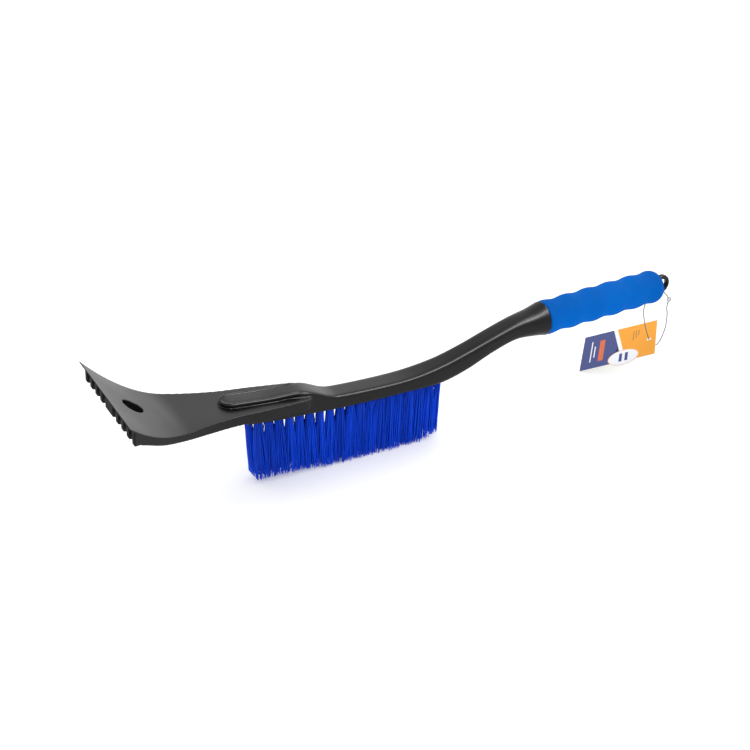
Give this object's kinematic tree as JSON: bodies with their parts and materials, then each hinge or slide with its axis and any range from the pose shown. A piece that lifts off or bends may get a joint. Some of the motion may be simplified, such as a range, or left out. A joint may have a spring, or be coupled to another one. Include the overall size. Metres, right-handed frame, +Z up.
{
  "type": "snow brush with ice scraper",
  "caption": "Snow brush with a fan-shaped ice scraper blade, bristle tufts under a cranked plastic handle, foam grip, hanging ring and a plain printed swing tag on a filament loop.",
  "frame": {"origin": "on the surface that the bristle tips stand on, under the middle of the moulding's length", "axes": "+X from the scraper blade towards the hanging ring, +Y to the left of +X, +Z up from the bristle tips to the handle"},
  "size_m": [0.5504, 0.1313, 0.1076],
  "materials": {
    "black_plastic": "satin",
    "blue_foam": "matte",
    "blue_bristle": "satin",
    "clear_filament": "gloss",
    "printed_card": "satin"
  },
  "bodies": {
    "scraper": {"body": "black_plastic", "foam_grip": "blue_foam", "tuft_front_01": "blue_bristle", "tuft_front_02": "blue_bristle", "tuft_front_03": "blue_bristle", "tuft_front_04": "blue_bristle", "tuft_front_05": "blue_bristle", "tuft_front_06": "blue_bristle", "tuft_front_07": "blue_bristle", "tuft_front_08": "blue_bristle", "tuft_front_09": "blue_bristle", "tuft_front_10": "blue_bristle", "tuft_front_11": "blue_bristle", "tuft_front_12": "blue_bristle", "tuft_front_13": "blue_bristle", "tuft_front_14": "blue_bristle", "tuft_front_15": "blue_bristle", "tuft_front_16": "blue_bristle", "tuft_front_17": "blue_bristle", "tuft_front_18": "blue_bristle", "tuft_front_19": "blue_bristle", "tuft_back_01": "blue_bristle", "tuft_back_02": "blue_bristle", "tuft_back_03": "blue_bristle", "tuft_back_04": "blue_bristle", "tuft_back_05": "blue_bristle", "tuft_back_06": "blue_bristle", "tuft_back_07": "blue_bristle", "tuft_back_08": "blue_bristle", "tuft_back_09": "blue_bristle", "tuft_back_10": "blue_bristle", "tuft_back_11": "blue_bristle", "tuft_back_12": "blue_bristle", "tuft_back_13": "blue_bristle", "tuft_back_14": "blue_bristle", "tuft_back_15": "blue_bristle", "tuft_back_16": "blue_bristle", "tuft_back_17": "blue_bristle", "tuft_back_18": "blue_bristle", "tuft_back_19": "blue_bristle"},
    "tag": {"tag_loop": "clear_filament", "loop_lock": "clear_filament", "hang_tag": "printed_card"}
  },
  "joints": [
    {"name": "tag_swing", "type": "hinge", "parent": "scraper", "child": "tag", "pos_m": [0.2515, 0, 0.0882], "axis": [0, 1, 0], "range_deg": [-155, 25]}
  ]
}
